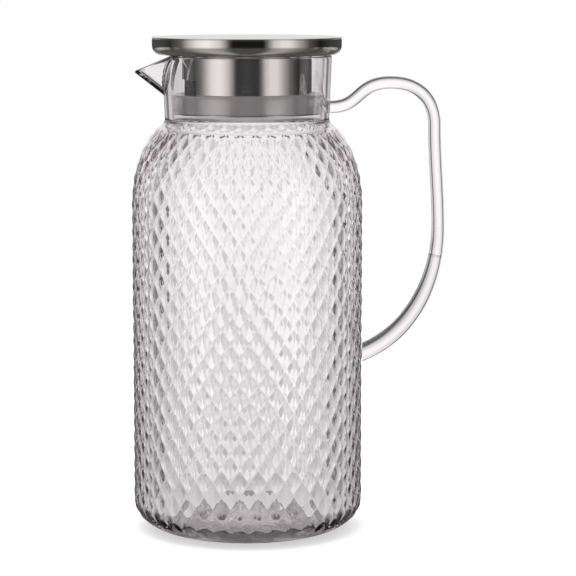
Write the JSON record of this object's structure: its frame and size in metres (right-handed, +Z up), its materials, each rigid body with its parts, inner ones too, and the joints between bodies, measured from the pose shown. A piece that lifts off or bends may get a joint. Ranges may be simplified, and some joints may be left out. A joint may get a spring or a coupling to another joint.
{
  "type": "pitcher with lid",
  "caption": "Clear cylindrical pitcher with diamond relief, a V spout, a rod handle and a steel lid that turns and lifts out on a silicone seal.",
  "frame": {"origin": "centre of the flat base, on the surface that the pitcher stands on", "axes": "+Z up along the pitcher's axis, +X towards the handle, -X towards the spout"},
  "size_m": [0.1577, 0.1164, 0.2499],
  "materials": {
    "clear_plastic": "clear and glossy",
    "steel": "fine brushed stainless steel",
    "silicone": "translucent grey silicone"
  },
  "bodies": {
    "jug": {"vessel": "clear_plastic", "handle": "clear_plastic"},
    "seal": {"lid_seal": "silicone"},
    "lid": {"lid_top": "steel", "lid_pan": "steel", "lid_sleeve": "steel", "strainer": "steel", "seal_retainer": "steel"}
  },
  "joints": [
    {"name": "lid_lift", "type": "slide", "parent": "jug", "child": "seal", "axis": [0, 0, 1], "range_m": [0, 0.045]},
    {"name": "lid_turn", "type": "hinge", "parent": "seal", "child": "lid", "pos_m": [0, 0, 0.2167], "axis": [0, 0, 1], "continuous": true}
  ]
}
